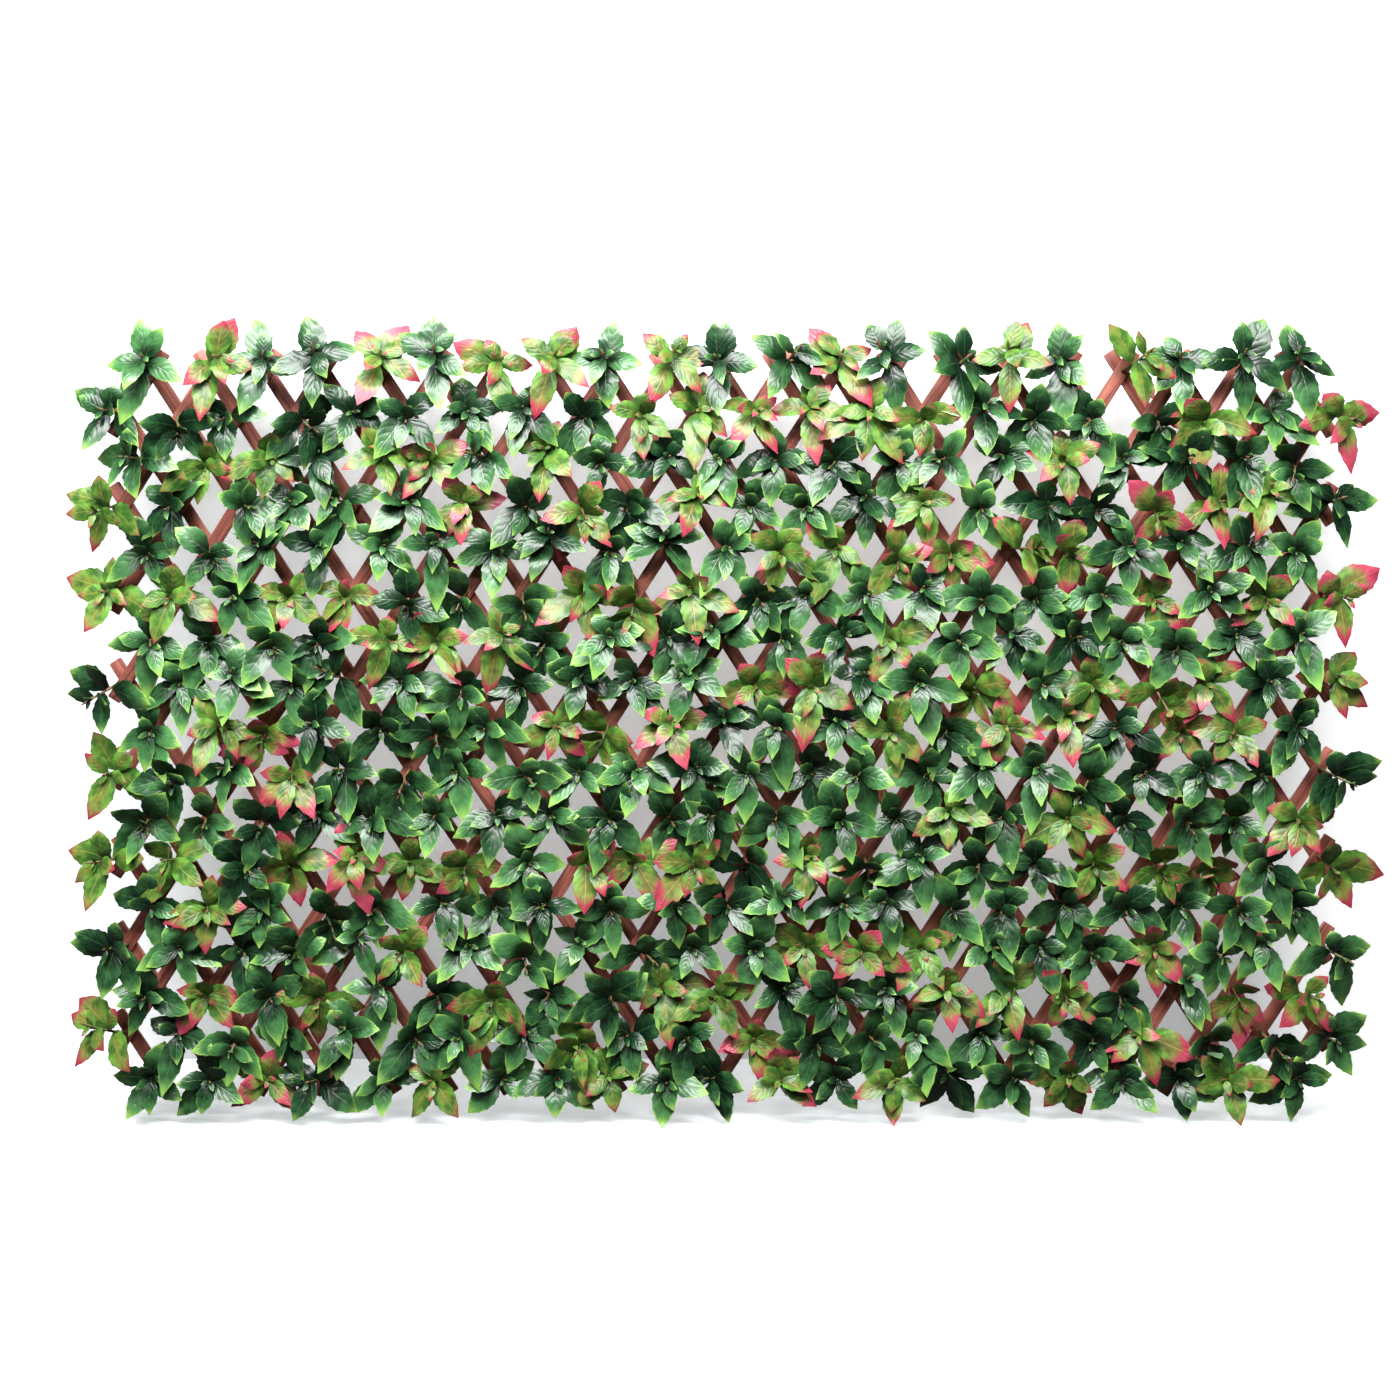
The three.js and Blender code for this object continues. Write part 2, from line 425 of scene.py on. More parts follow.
def makeStainedWood():
    look = slatPaint
    paint = Paint("stained wood")
    flat = paint.add("ShaderNodeUVMap", {"uv_map": "grainMap"})
    edge = paint.named("edgeWear")
    cloud = paint.noise(paint.stretched(flat, look["cloudStretch"]), 1, 3, 0.6, 0.6)
    streak = paint.noise(paint.stretched(flat, look["streakStretch"], (3, 1, 0)), 1, 4, 0.65)
    hair = paint.noise(paint.stretched(flat, look["hairStretch"], (7, 2, 0)), 1, 2)
    shade = paint.step(cloud * 0.55 + streak * 0.5, *look["stainBand"])
    colour = paint.blend(shade, look["darkStain"], look["midStain"])
    pore = 1 - paint.step(hair * 0.6 + streak * 0.4, *look["poreBand"])
    colour = paint.blend(pore * look["poreShare"], colour, look["pore"])
    wear = paint.step(edge * 0.75 + streak * 0.5, *look["wearBand"])
    colour = paint.blend(wear * look["wearShare"], colour, look["wornStain"])
    height = streak * 0.6 + hair * 0.25 - pore * 0.5
    sockets = {"Base Color": colour, "Roughness": look["roughness"] + streak * 0.22, "IOR": look["ior"]}
    return paint.finish(sockets, height, 0.5, 0.0007)


rivetPaint = {
    "dull": srgb(150, 146, 138),
    "bright": srgb(196, 192, 184),
    "scuffScale": 900,
    "scuffBand": (0.4, 0.65),
    "roughness": 0.34,
    "metallic": 0.9,
}


def makeRivetMetal():
    look = rivetPaint
    paint = Paint("rivet metal")
    scuff = paint.noise(paint.objectPlace(), look["scuffScale"], 3)
    colour = paint.blend(paint.step(scuff, *look["scuffBand"]), look["dull"], look["bright"])
    sockets = {"Base Color": colour, "Roughness": look["roughness"] + scuff * 0.25,
               "Metallic": look["metallic"]}
    return paint.finish(sockets, scuff, 0.25, 0.0004)


greenLeaf = makeGreenLeaf()
redTipLeaf = makeRedTipLeaf()
mouldedStem = makeMouldedStem()
stainedWood = makeStainedWood()
rivetMetal = makeRivetMetal()
print("materials made")


# Mesh help


def meshObject(name, points, faces, material, uvMap=None, uvs=None, numbers=None, sharp=None):
    # faces holds arrays of four or three corners; uvs is one pair a point, and each of the numbers one
    # value a point or a face
    mesh = bpy.data.meshes.new(name)
    sizes = np.concatenate([np.full(len(f), f.shape[1], np.int32) for f in faces])
    loops = np.concatenate([f.ravel() for f in faces]).astype(np.int32)
    mesh.vertices.add(len(points))
    mesh.vertices.foreach_set("co", points.astype(np.float32).ravel())
    mesh.loops.add(len(loops))
    mesh.loops.foreach_set("vertex_index", loops)
    mesh.polygons.add(len(sizes))
    mesh.polygons.foreach_set("loop_start", np.concatenate([[0], np.cumsum(sizes)[:-1]]).astype(np.int32))
    mesh.polygons.foreach_set("loop_total", sizes)
    mesh.update(calc_edges=True)
    mesh.polygons.foreach_set("use_smooth", np.ones(len(sizes), bool))
    if uvs is not None:
        mesh.uv_layers.new(name=uvMap).uv.foreach_set("vector", uvs[loops].astype(np.float32).ravel())
    for key, values in (numbers or {}).items():
        domain = "POINT" if len(values) == len(points) else "FACE"
        mesh.attributes.new(key, "FLOAT", domain).data.foreach_set("value", values.astype(np.float32))
    if sharp is not None:
        # an edge is sharp where both of its ends are on the rim
        ends = np.empty(len(mesh.edges) * 2, np.int32)
        mesh.edges.foreach_get("vertices", ends)
        hard = sharp[ends.reshape(-1, 2)].all(1)
        mesh.attributes.new("sharp_edge", "BOOLEAN", "EDGE").data.foreach_set("value", hard)
    mesh.materials.append(material)
    thing = bpy.data.objects.new(name, mesh)
    bpy.context.collection.objects.link(thing)
    return thing


def repeated(faces, count, pointCount):
    # the same faces for each of count copies of a shape
    shift = np.arange(count)[:, None, None] * pointCount
    return [(f[None] + shift).reshape(-1, f.shape[1]) for f in faces]


def gridFaces(rings, sides):
    # quads between rings of a closed tube, and the fans that close it at two poles after the rings
    ring, side = np.meshgrid(np.arange(rings - 1), np.arange(sides), indexing="ij")
    after = (side + 1) % sides
    quads = np.stack([ring * sides + side, ring * sides + after,
                      (ring + 1) * sides + after, (ring + 1) * sides + side], -1).reshape(-1, 4)
    here = np.arange(sides)
    there = (here + 1) % sides
    firstPole, lastPole = rings * sides, rings * sides + 1
    first = np.stack([np.full(sides, firstPole), there, here], -1)
    last = np.stack([np.full(sides, lastPole), (rings - 1) * sides + here, (rings - 1) * sides + there], -1)
    return [quads, np.concatenate([first, last])]


# Strips

stripShape = {
    "width": 0.018,
    "thickness": 0.005,
    "layerGap": 0.0003,  # between back and front slats
    "corner": 0.0009,
    "stations": 26,
    "waver": 0.00018,  # how far a sawn edge wanders
    "waverTurns": (41, 97),  # radians a metre of its long and its short wave
    "shortWaver": 0.6,  # the short wave over the long one
    "endBevel": 0.0006,
}
frontFace = -2 * stripShape["thickness"] - stripShape["layerGap"]  # the face that the picks grow from
middleDepth = {"back": -stripShape["thickness"] / 2, "front": frontFace + stripShape["thickness"] / 2}


def stripProfile():
    # a rectangle with rounded corners, three points a corner, from the width and thickness
    halfWidth = stripShape["width"] / 2 - stripShape["corner"]
    halfDepth = stripShape["thickness"] / 2 - stripShape["corner"]
    corners = [(halfWidth, halfDepth, 0), (-halfWidth, halfDepth, 90),
               (-halfWidth, -halfDepth, 180), (halfWidth, -halfDepth, 270)]
    points = []
    for across, depth, turn in corners:
        for extra in (0, 45, 90):
            angle = math.radians(turn + extra)
            points.append((across + stripShape["corner"] * math.cos(angle),
                           depth + stripShape["corner"] * math.sin(angle), float(extra == 45)))
    return np.array(points)


def slatRun(family):
    # unit run of a family in x and z; front slats rise to the right, back slats fall to the right
    return np.array([math.cos(lean), math.sin(lean) if family == "front" else -math.sin(lean)])


def slatCrossings(family, number):
    columns = np.arange(lattice["lastColumn"] + 1)
    rows = 2 * number - 1 - columns if family == "front" else columns - 2 * number + 1 + lattice["lastRow"]
    held = (rows >= 0) & (rows <= lattice["lastRow"])
    return [(int(c), int(r)) for c, r in zip(columns[held], rows[held])]


def makeSlat(family, number, crossings, rng):
    # the profile carried from end to end: point = middle + along * run + across * side, and depth in y
    run = slatRun(family)
    side = np.array([-run[1], run[0]])
    ends = np.array([crossingPoint(*crossings[0]), crossingPoint(*crossings[-1])])
    middle = ends.mean(0)
    half = np.linalg.norm(ends[1] - ends[0]) / 2 + lattice["overhang"]
    profile = stripProfile()
    bevel = stripShape["endBevel"]
    inner = np.linspace(-half + bevel, half - bevel, stripShape["stations"])
    along = np.concatenate([[-half], inner, [half]])
    shrink = np.ones(len(along))
    shrink[[0, -1]] = 1 - bevel / stripShape["thickness"]
    longTurns, shortTurns = stripShape["waverTurns"]
    phase = rng.uniform(0, 6.28, 4)
    wander = np.sin(along * longTurns + phase[0])
    wander = wander + stripShape["shortWaver"] * np.sin(along * shortTurns + phase[1])
    across = profile[None, :, 0] * shrink[:, None] + stripShape["waver"] * wander[:, None]
    depth = profile[None, :, 1] * shrink[:, None]
    middleY = middleDepth[family]
    flat = middle + along[:, None, None] * run + across[..., None] * side
    points = np.stack([flat[..., 0], middleY + depth, flat[..., 1]], -1).reshape(-1, 3)
    poles = np.array([[*(middle - half * run), middleY], [*(middle + half * run), middleY]])[:, [0, 2, 1]]
    points = np.concatenate([points, poles])
    # the grain map runs along and around the strip in metres, from a place of its own
    around = np.concatenate([[0], np.cumsum(np.linalg.norm(np.diff(profile[:, :2], axis=0), axis=1))])
    shift = rng.uniform(0, 50, 2)
    uvs = np.stack(np.broadcast_arrays(along[:, None], around[None]), -1).reshape(-1, 2)
    uvs = np.concatenate([uvs, [[-half, 0], [half, 0]]]) + shift
    # corners and both ends are worn
    wear = np.concatenate([np.tile(profile[:, 2], len(along)), [1, 1]])
    wear[:len(profile)] = 1
    wear[-2 - len(profile):-2] = 1
    faces = gridFaces(len(along), len(profile))
    if family == "front":
        faces = [f[:, ::-1] for f in faces]
    name = f"{family}_strip_{number:02d}"
    return meshObject(name, points, faces, stainedWood, "grainMap", uvs, {"edgeWear": wear})


# Rivets

rivetShape = {
    "radius": 0.0034,
    "height": 0.0009,
    "sides": 12,
    # shares of the radius and the height, from the rim to the dimple at the crown
    "outlineShares": ((1.0, -0.3), (1.0, 0.25), (0.86, 0.75), (0.5, 1.0), (0.22, 0.72)),
    "poleShares": (-0.3, 0.6),
}


def makeRivets(name, places):
    # a low dome turned about the rivet's axis: (radius * cos, height, radius * sin), and two poles
    outline = np.array(rivetShape["outlineShares"])
    angle = np.linspace(0, 2 * math.pi, rivetShape["sides"], endpoint=False)
    radius = outline[:, 0, None] * rivetShape["radius"]
    height = np.repeat(outline[:, 1:], len(angle), 1) * rivetShape["height"]
    dome = np.stack([radius * np.cos(angle), height, radius * np.sin(angle)], -1).reshape(-1, 3)
    poles = [(0, share * rivetShape["height"], 0) for share in rivetShape["poleShares"]]
    dome = np.concatenate([dome, poles])
    centres = np.array([(x, 0, z) for x, z in places])
    points = (centres[:, None] + dome[None]).reshape(-1, 3)
    faces = [f[:, ::-1] for f in gridFaces(len(outline), len(angle))]
    return meshObject(name, points, repeated(faces, len(places), len(dome)), rivetMetal)


# Leaves

leafShape = {
    "basePower": 1.0,  # a higher power draws an end out
    "tipPower": 1.08,
    "halfWidth": 0.268,  # of the length
    "tooth": 0.045,
    "toothSweep": 0.014,
    "thickness": 0.0005,
    "broad": (0.92, 1.08),
    "sag": (0.10, 0.36),
    "roll": (0.10, 0.60),  # how far a leaf that points sideways turns its face up
    "rollSoon": 3,  # the roll is full at one third of the length
    "fold": (0.16, 0.55),
    "foldFade": 0.5,  # the fold flattens by this share towards the tip
    "cup": (0.04, 0.30),
    "ripple": (0.02, 0.09),
    "rippleTurns": 17,  # radians over the length
    "rippleShift": 1.3,  # between the two halves
    "twist": 0.28,
    "bend": 0.045,
    "spreadDegrees": 18,  # how far leaves stray from their even turn
    "pairGap": 0.03,  # between the two leaves of a pair, as a share of the stem
}

# One row a pair of leaves, from the foot of the pick to its top.
leafTiers = [
    {"share": 0.60, "turn": 0, "length": (0.056, 0.073), "rise": (6, 34), "curl": (8, 50), "rows": 12},
    {"share": 0.74, "turn": 90, "length": (0.047, 0.064), "rise": (12, 34), "curl": (8, 50), "rows": 12},
    {"share": 0.92, "turn": 12, "length": (0.033, 0.050), "rise": (22, 46), "curl": (5, 42), "rows": 8},
    {"share": 1.00, "turn": 98, "length": (0.010, 0.022), "rise": (36, 60), "curl": (5, 34), "rows": 5},
]


def leafTemplate(rows):
    # a closed thin blade: five points across the front of each row, one behind the midrib, and a pole
    # at each end
    along = (np.arange(rows) + 0.5) / rows
    across = np.array([-1, -0.55, 0, 0.55, 1, 0])
    layer = np.array([0, 0.8, 1, 0.8, 0, -1])
    rim = np.array([1, 0, 0, 0, 1, 0])
    grid = np.stack(np.broadcast_arrays(along[:, None], across, layer, rim), -1).reshape(-1, 4)
    poles = np.array([[0, 0, 0, 1], [1, 0, 0, 1]], float)
    table = np.concatenate([grid, poles])
    width = len(across)
    tooth = np.concatenate([np.repeat(np.where(np.arange(rows) % 2, 1, -1), width), [0, 0]]) * table[:, 3]
    root, tip = rows * width, rows * width + 1
    row = np.arange(rows - 1)[:, None] * width
    front = np.arange(4)[None]
    quads = [np.stack([row + front, row + width + front, row + width + front + 1, row + front + 1], -1)]
    for left, right in ((0, 5), (5, 4)):
        quads.append(np.stack([row + left, row + right, row + width + right, row + width + left], -1))
    quads = np.concatenate([q.reshape(-1, 4) for q in quads])
    last = (rows - 1) * width
    fans = [(root, c, c + 1) for c in range(4)] + [(last + c, tip, last + c + 1) for c in range(4)]
    fans += [(root, 5, 0), (root, 4, 5), (last + 5, tip, last + 0), (last + 4, tip, last + 5)]
    fans = np.array(fans)
    under = np.concatenate([np.zeros((rows - 1) * 4), np.ones((rows - 1) * 2), np.zeros(8), np.ones(4)])
    return {"along": table[:, 0], "across": table[:, 1], "layer": table[:, 2], "rim": table[:, 3] > 0,
            "tooth": tooth, "faces": [quads, fans], "under": under}


def bladePoints(leaf, shape):
    # leaf: arrays with one value a leaf; shape: the template. The midrib is an arc whose slope falls from
    # rise by curl over its length; the half width is (t/w)^base ((1-t)/(1-w))^tip, widest at
    # w = base / (base + tip); the halves fold up, the rims roll down.
    t, s = shape["along"][None], shape["across"][None]
    column = {key: value[:, None] for key, value in leaf.items() if value.ndim == 1}
    length = column["length"]
    t = np.clip(t + shape["tooth"] * leafShape["toothSweep"], 0, 1)
    slope = column["rise"] - column["curl"] * t
    out = length / column["curl"] * (np.sin(column["rise"]) - np.sin(slope))
    up = length / column["curl"] * (np.cos(slope) - np.cos(column["rise"]))
    base, tip = leafShape["basePower"], leafShape["tipPower"]
    widest = base / (base + tip)
    half = (t / widest) ** base * ((1 - t) / (1 - widest)) ** tip
    toothed = 1 + shape["tooth"] * leafShape["tooth"]
    half = half * leafShape["halfWidth"] * length * column["broad"] * toothed
    side = s * half
    lift = np.abs(s) * half * column["fold"] * (1 - leafShape["foldFade"] * t)
    lift = lift - column["cup"] * half * s ** 2
    wave = np.sin(t * leafShape["rippleTurns"] + column["phase"] + np.sign(s) * leafShape["rippleShift"])
    lift = lift + wave * column["ripple"] * half * s ** 2 + shape["layer"] * leafShape["thickness"] / 2
    rolled = np.minimum(t * leafShape["rollSoon"], 1)
    roll = column["twist"] * t - column["roll"] * np.cos(column["turn"]) * rolled
    turned = side * np.cos(roll) - lift * np.sin(roll)
    raised = side * np.sin(roll) + lift * np.cos(roll)
    radial = out - raised * np.sin(slope)
    lateral = turned + column["bend"] * length * t ** 2
    outward = up + raised * np.cos(slope)
    axis = leaf["axis"]
    east = np.array([1.0, 0, 0]) - axis[:, :1] * axis
    east /= np.linalg.norm(east, axis=1, keepdims=True)
    north = np.cross(axis, east)
    cos, sin = np.cos(column["turn"]), np.sin(column["turn"])
    pointing = cos * east + sin * north
    sideways = -sin * east + cos * north
    points = leaf["root"][:, None] + radial[..., None] * pointing[:, None]
    points = points + lateral[..., None] * sideways[:, None] + outward[..., None] * axis[:, None]
    points[..., 2] -= column["sag"] * length * t ** 2
    return points


limits = {
    "frontY": -0.0695,
    "frontSoft": 0.006,
    "backY": -0.0110,  # just off the front slats
    "backSoft": 0.006,
    "floorSoft": 0.010,
    "floorForward": 0.7,
}
floorZ = cadBox[0].z


def keptInside(points):
    # a leaf that would pass the floor, the front of the box or the slats bends along it: past the soft
    # band the distance left falls off exponentially, and what the floor takes comes forward
    soft = limits["floorSoft"]
    over = np.minimum(points[..., 2] - (floorZ + soft), 0)
    points[..., 1] += over * limits["floorForward"]
    points[..., 2] = np.where(over < 0, floorZ + soft * np.exp(over / soft), points[..., 2])
    soft = limits["frontSoft"]
    over = np.minimum(points[..., 1] - (limits["frontY"] + soft), 0)
    points[..., 1] = np.where(over < 0, limits["frontY"] + soft * np.exp(over / soft), points[..., 1])
    soft = limits["backSoft"]
    over = np.minimum(limits["backY"] - soft - points[..., 1], 0)
    points[..., 1] = np.where(over < 0, limits["backY"] - soft * np.exp(over / soft), points[..., 1])
    return points


# Picks

pickShape = {
    "seed": 20,
    "lowStem": 0.026,
    "highStem": 0.037,
    "stemSpan": (0.9, 1.04),
    "lean": 0.30,
    "droop": 0.12,
    "faceShare": 0.45,  # how far the leaves face the way that the stem leans
    "edgeLean": 0.68,  # picks at the sides and the top lean out
    "edgeStray": 0.4,  # and keep this share of their free lean
    "edgeFace": 0.15,  # and face out by this
    "edgeCalm": 0.6,  # and their leaves twist, roll and fold less by this share
    "edgeTurn": 0.35,  # and point a leaf outwards, give or take this
    "bottomLean": 0.5,  # picks of the lowest row lean up, by this share of their free lean
    "size": (0.92, 1.04),
    "toneShare": 0.6,  # of a leaf's tone that its pick sets
    "standUp": 3,  # degrees by which a leaf that points up stands further forward
    "standDown": 12,  # and one that points down
    "foldLimitKeep": 0.38,  # width of a pick across its slat at the folded limit, over that at rest
}

# What changes in a leaf that points over the edge of the panel, and in one that points to the floor.
overEdge = {"longer": 0.16, "lowerRise": 0.7, "lowerCurl": 0.5, "lowerSag": 0.5}
toFloor = {"shorter": 0.06, "lowerSag": 0.8}


def makeSprigs(rng):
    # one row a crossing: where it stands, how it leans and turns, and which kind it is
    places = [(c, r) for r in range(lattice["lastRow"] + 1) for c in range(lattice["lastColumn"] + 1)
              if (c + r) % 2]
    columns, rows = np.array(places).T
    x, z = crossingPoint(columns, rows)
    count = len(places)
    slat = (columns + rows + 1) // 2
    leanX = rng.normal(0, pickShape["lean"], count)
    leanZ = rng.normal(-pickShape["droop"], pickShape["lean"], count)
    # atSide is 1 on the right edge and -1 on the left one
    atSide = (columns == lattice["lastColumn"]) * 1.0 - (columns == 0)
    atTop = (rows == 0) * 1.0
    atBottom = (rows == lattice["lastRow"]) * 1.0
    leanX = leanX * np.where(atSide, pickShape["edgeStray"], 1)
    leanZ = leanZ * np.where(atTop, pickShape["edgeStray"], 1)
    faceX = pickShape["faceShare"] * leanX + pickShape["edgeFace"] * atSide
    faceZ = pickShape["faceShare"] * leanZ + pickShape["edgeFace"] * atTop
    leanX = leanX + pickShape["edgeLean"] * atSide
    leanZ = leanZ + pickShape["edgeLean"] * atTop
    leanZ = np.where(atBottom, np.abs(leanZ) * pickShape["bottomLean"], leanZ)
    turn = rng.uniform(0, 2 * math.pi, count)
    outward = np.where(atSide, 0.0, math.pi / 2) + rng.normal(0, pickShape["edgeTurn"], count)
    turn = np.where((atSide != 0) | (atTop != 0), outward, turn)
    stem = np.where(slat % 2, pickShape["lowStem"], pickShape["highStem"])
    stem = stem * rng.uniform(*pickShape["stemSpan"], count)
    size = rng.uniform(*pickShape["size"], count)
    tone = rng.uniform(0, 1, count)
    red = np.array([c in redPlaces[r] for c, r in places])
    return {"slat": slat, "x": x, "z": z, "leanX": leanX, "leanZ": leanZ, "faceX": faceX, "faceZ": faceZ,
            "turn": turn, "stem": stem, "size": size, "tone": tone, "red": red,
            "outX": atSide, "outZ": atTop, "lowest": atBottom}


def stemPoint(sprigs, share):
    # the stem leaves the slat square and leans more and more: foot + share * length out + share^2 * lean
    out = sprigs["stem"] * share
    x = sprigs["x"] + out * share * sprigs["leanX"]
    z = sprigs["z"] + out * share * sprigs["leanZ"]
    return np.stack([x, frontFace - out, z], -1)


def stemAxis(sprigs, share):
    # the way that the leaves at this share of the stem face: 2 * share * face aside and 1 to the front,
    # brought to length 1
    forward = -np.ones(len(sprigs["x"]))
    axis = np.stack([2 * share * sprigs["faceX"], forward, 2 * share * sprigs["faceZ"]], -1)
    return axis / np.linalg.norm(axis, axis=1, keepdims=True)


def makeLeaves(sprigs, rng):
    # every leaf of every pick, tier by tier, two opposite leaves a pair
    tiers = []
    count = len(sprigs["x"])
    for tier in leafTiers:
        for half in (0, 1):
            spread = rng.normal(0, math.radians(leafShape["spreadDegrees"]), count)
            turn = sprigs["turn"] + math.radians(tier["turn"]) + half * math.pi + spread
            stand = np.where(np.sin(turn) > 0, pickShape["standUp"], -pickShape["standDown"])
            forward = stand * np.sin(turn)
            # over and down: how far a leaf points over the edge of the panel, and to the floor
            over = np.clip(np.cos(turn) * sprigs["outX"] + np.sin(turn) * sprigs["outZ"], 0, 1)
            down = np.clip(-np.sin(turn), 0, 1) * sprigs["lowest"]
            calm = 1 - pickShape["edgeCalm"] * np.maximum(np.abs(sprigs["outX"]), sprigs["outZ"])
            stretch = (1 + overEdge["longer"] * over) * (1 - toFloor["shorter"] * down)
            flatter = 1 - overEdge["lowerRise"] * over
            straighter = 1 - overEdge["lowerCurl"] * over
            hang = (1 - overEdge["lowerSag"] * over) * (1 - toFloor["lowerSag"] * down)
            ownTone = 1 - pickShape["toneShare"]
            leaf = {
                "slat": sprigs["slat"],
                "red": sprigs["red"],
                "root": stemPoint(sprigs, tier["share"] + leafShape["pairGap"] * half),
                "axis": stemAxis(sprigs, tier["share"]),
                "turn": turn,
                "length": rng.uniform(*tier["length"], count) * sprigs["size"] * stretch,
                "rise": np.radians(rng.uniform(*tier["rise"], count) + forward) * flatter,
                "curl": np.radians(rng.uniform(*tier["curl"], count)) * straighter,
                "broad": rng.uniform(*leafShape["broad"], count),
                "fold": rng.uniform(*leafShape["fold"], count) * calm,
                "cup": rng.uniform(*leafShape["cup"], count),
                "ripple": rng.uniform(*leafShape["ripple"], count),
                "phase": rng.uniform(0, 6.28, count),
                "twist": rng.normal(0, leafShape["twist"], count) * calm,
                "roll": rng.uniform(*leafShape["roll"], count) * calm,
                "bend": rng.normal(0, leafShape["bend"], count),
                "sag": rng.uniform(*leafShape["sag"], count) * hang,
                "tone": sprigs["tone"] * pickShape["toneShare"] + rng.uniform(0, ownTone, count),
            }
            tiers.append((tier["rows"], leaf))
    return tiers


def makePicks(number, isRed, tiers, templates):
    points, faces, uvs, tones, unders, rims = [], [], [], [], [], []
    total = 0
    for rows, leaf in tiers:
        chosen = (leaf["slat"] == number) & (leaf["red"] == isRed)
        if not chosen.any():
            continue
        shape = templates[rows]
        some = {key: value[chosen] for key, value in leaf.items()}
        placed = keptInside(bladePoints(some, shape))
        count, size = placed.shape[:2]
        points.append(placed.reshape(-1, 3))
        faces.append([f + total for f in repeated(shape["faces"], count, size)])
        total += count * size
        uvs.append(np.tile(np.stack([shape["along"], shape["across"] / 2 + 0.5], -1), (count, 1)))
        tones.append(np.repeat(some["tone"], size))
        rims.append(np.tile(shape["rim"], count))
        fours = len(shape["faces"][0])
        unders.append([np.tile(shape["under"][:fours], count), np.tile(shape["under"][fours:], count)])
    if not points:
        return None
    quads = np.concatenate([f[0] for f in faces])
    threes = np.concatenate([f[1] for f in faces])
    under = np.concatenate([u[0] for u in unders] + [u[1] for u in unders])
    name = f"{'red' if isRed else 'green'}_picks_{number:02d}"
    numbers = {"leafTone": np.concatenate(tones), "underside": under}
    material = redTipLeaf if isRed else greenLeaf
    return meshObject(name, np.concatenate(points), [quads, threes], material, "leafMap",
                      np.concatenate(uvs), numbers, np.concatenate(rims))


stemShape = {
    "footRadius": 0.0024,
    "sides": 6,
    # rings along the stem, from just inside the slat to the bud, and their radii
    "ringShares": (-0.03, 0.25, 0.5, 0.75, 0.97, 1.05, 1.14),
    "radiusShares": (1.15, 0.95, 0.85, 0.75, 0.7, 1.0, 0.55),
    "budShare": 1.2,
}


def makeStems(name, sprigs):
    # a tapered tube along each stem, with a bud at its top
    shares, sides = stemShape["ringShares"], stemShape["sides"]
    radii = np.array(stemShape["radiusShares"]) * stemShape["footRadius"]
    angle = np.linspace(0, 2 * math.pi, sides, endpoint=False)
    ring = np.stack([np.cos(angle), np.zeros(sides), np.sin(angle)], -1)
    centres = np.stack([stemPoint(sprigs, share) for share in shares], 1)
    tube = centres[:, :, None] + radii[None, :, None, None] * ring[None, None]
    ends = np.stack([stemPoint(sprigs, shares[0]), stemPoint(sprigs, stemShape["budShare"])], 1)
    points = np.concatenate([tube.reshape(len(centres), -1, 3), ends], 1)
    faces = repeated(gridFaces(len(shares), sides), len(centres), points.shape[1])
    return meshObject(name, points.reshape(-1, 3), faces, mouldedStem)


# Assembly

rng = np.random.default_rng(pickShape["seed"])
slatNumbers = range(1, lattice["slatCount"] + 1)
for family in ("back", "front"):
    for number in slatNumbers:
        crossings = slatCrossings(family, number)
        strip = makeSlat(family, number, crossings, rng)
        node = f"{family}_slat_{number:02d}"
        body = "root" if family == "back" and number == lattice["rootSlat"] else node
        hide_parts(node)
        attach(strip, body)
        if family == "back":
            rivets = makeRivets(f"back_rivets_{number:02d}", [crossingPoint(*c) for c in crossings])
            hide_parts(node)
            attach(rivets, body)
print("slats and rivets made")

sprigs = makeSprigs(rng)
tiers = makeLeaves(sprigs, rng)
templates = {tier["rows"]: leafTemplate(tier["rows"]) for tier in leafTiers}
for number in slatNumbers:
    node = f"front_slat_{number:02d}"
    chosen = sprigs["slat"] == number
    stems = makeStems(f"pick_stems_{number:02d}", {key: value[chosen] for key, value in sprigs.items()})
    made = [(stems, "stem"), (makePicks(number, False, tiers, templates), "green_leaf"),
            (makePicks(number, True, tiers, templates), "red_tip_leaf")]
    for piece, slotName in made:
        if piece is None:
            continue
        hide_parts(node)
        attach(piece, node)
        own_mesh(piece)
print("picks made")


# Studio

studio = {
    "wallFoot": 0.27,  # y of the wall at the floor
    "wallLean": 0.22,  # it leans towards the trellis by this a metre up
    "floorHalf": 6.0,
    "paper": (0.86, 0.9, 0.91),
    "paperBounce": (0.03, 0.03, 0.03),  # what the paper throws back on the object
    # white that the camera sees over the paper: low and high behind the trellis, a painted shadow of the
    # trellis that darkens towards the floor, then close beside it
    "glow": (0.33, 0.50, 0.72),
    # the cool grey of the painted shadow behind the trellis
    "shadowGlowTint": (0.93, 0.99, 1.0),  # of the white behind the trellis
    # where the paper clears from the painted shadow behind the trellis to beside it: distance from the
    # middle, height, and y on the floor
    "besideAcross": (0.74, 0.94),
    "besideHeight": (0.40, 0.60),
    "besideDepth": (-0.075, 0.0),
    # where it clears to full white
    "awayAcross": (1.0, 1.7),
    "awayHeight": (0.7, 1.4),
    "awayFront": (-1.6, -0.7),
    "awayBack": (0.5, 1.0),
    "inGloss": 0.15,  # how bright the white shows in gloss
    "worldStrength": 0.02,
    "lamps": [
        {"name": "overhead", "place": (-0.35, -1.55, 2.15), "size": (3.2, 0.8), "power": 232},
        {"name": "front", "place": (-0.9, -2.9, 1.7), "size": (0.55, 0.35), "power": 20},
        {"name": "back", "place": (1.1, 2.6, 0.7), "size": (2.0, 0.8), "power": 62},
    ],
}


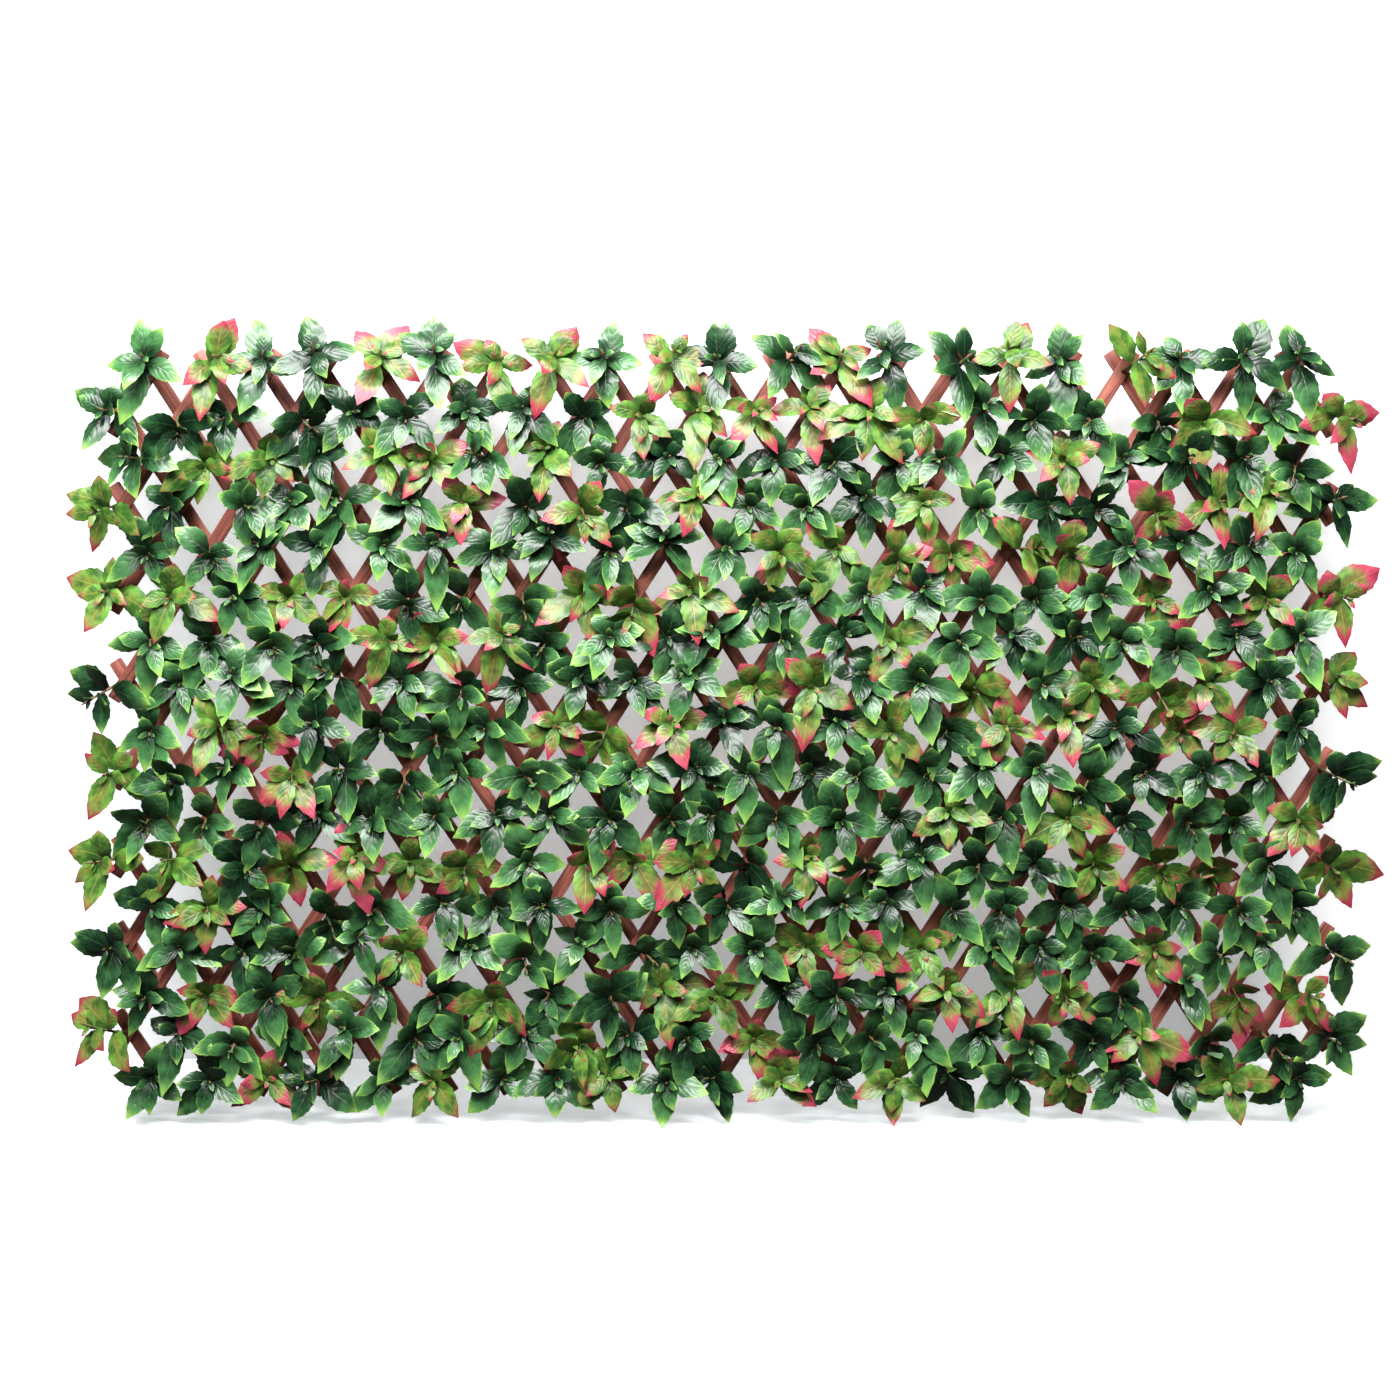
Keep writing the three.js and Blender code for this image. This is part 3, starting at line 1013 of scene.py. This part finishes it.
def seenDirectly(paint):
    # 1 for the camera; and the same with what gloss and glass see added
    seen = paint.add("ShaderNodeLightPath", out="Is Camera Ray")
    mirrored = seen.beside("Is Glossy Ray") + seen.beside("Is Transmission Ray")
    return seen, seen + mirrored * studio["inGloss"]


def makeStudioPaper():
    paint = Paint("studio paper")
    seen, shown = seenDirectly(paint)
    colour = paint.blend(seen, studio["paperBounce"], studio["paper"])
    paper = paint.add("ShaderNodeBsdfDiffuse", {}, {"Color": colour})
    split = paint.add("ShaderNodeSeparateXYZ", {}, {0: paint.objectPlace()})
    across = paint.add("ShaderNodeMath", {"operation": "ABSOLUTE"}, {0: split})
    depth, height = split.beside("Y"), split.beside("Z")
    low, high, beside = studio["glow"]
    # painted shadow: behind the trellis the camera sees less white, and less still towards the floor
    paintedShadowGlow = low + (high - low) * paint.step(height, floorZ, cadBox[1].z)
    clear = larger(paint.step(across, *studio["besideAcross"]), paint.step(height, *studio["besideHeight"]))
    clear = larger(clear, 1 - paint.step(depth, *studio["besideDepth"]))
    away = larger(paint.step(across, *studio["awayAcross"]), paint.step(height, *studio["awayHeight"]))
    away = larger(away, 1 - paint.step(depth, *studio["awayFront"]))
    away = larger(away, paint.step(depth, *studio["awayBack"]))
    strength = shown * (paintedShadowGlow + (beside - paintedShadowGlow) * clear + (1 - beside) * away)
    # the painted shadow behind the trellis is tinted cool
    tint = paint.blend(larger(clear, away), studio["shadowGlowTint"], (1, 1, 1))
    glow = paint.add("ShaderNodeEmission", {}, {"Color": tint, "Strength": strength})
    lit = paint.add("ShaderNodeAddShader", {}, {0: paper, 1: glow})
    clearSide = larger(paint.add("ShaderNodeNewGeometry", out="Backfacing"), seen.beside("Is Shadow Ray"))
    nothing = paint.add("ShaderNodeBsdfTransparent")
    both = paint.add("ShaderNodeMixShader", {}, {0: clearSide, 1: lit, 2: nothing})
    paint.tree.links.new(both.socket, paint.output.inputs["Surface"])
    return paint.material


def makeStage():
    # floor and wall meet in a plain corner behind the trellis; the wall can't be seen from behind, and the
    # lamp at the back shines through it
    half, foot = studio["floorHalf"], studio["wallFoot"]
    top = foot - studio["wallLean"] * (half - floorZ)
    sheets = {
        "floor": [(-half, -half, floorZ), (half, -half, floorZ),
                  (half, half, floorZ), (-half, half, floorZ)],
        "wall": [(-half, foot, floorZ), (half, foot, floorZ),
                 (half, top, half), (-half, top, half)],
    }
    material = makeStudioPaper()
    for name, corners in sheets.items():
        mesh = bpy.data.meshes.new(name)
        mesh.from_pydata(corners, [], [(0, 1, 2, 3)])
        mesh.materials.append(material)
        sheet = bpy.data.objects.new(name, mesh)
        bpy.context.collection.objects.link(sheet)


def makeLamps():
    for lamp in studio["lamps"]:
        data = bpy.data.lights.new(lamp["name"], "AREA")
        data.shape = "RECTANGLE"
        data.size, data.size_y = lamp["size"]
        data.energy = lamp["power"]
        light = bpy.data.objects.new(lamp["name"], data)
        light.location = lamp["place"]
        aim = -light.location
        light.rotation_euler = aim.to_track_quat("-Z", "Y").to_euler()
        bpy.context.collection.objects.link(light)


def makeWorld():
    # white to the camera, and a low even light on the object
    paint = Paint("studio", bpy.data.worlds, "ShaderNodeOutputWorld")
    shown = seenDirectly(paint)[1]
    strength = shown * (1 - studio["worldStrength"]) + studio["worldStrength"]
    white = paint.add("ShaderNodeBackground", {}, {"Color": (1, 1, 1, 1), "Strength": strength})
    paint.tree.links.new(white.socket, paint.output.inputs["Surface"])
    bpy.context.scene.world = paint.material


makeStage()
makeLamps()
makeWorld()
bpy.context.scene.view_settings.view_transform = "Standard"
print("studio made")
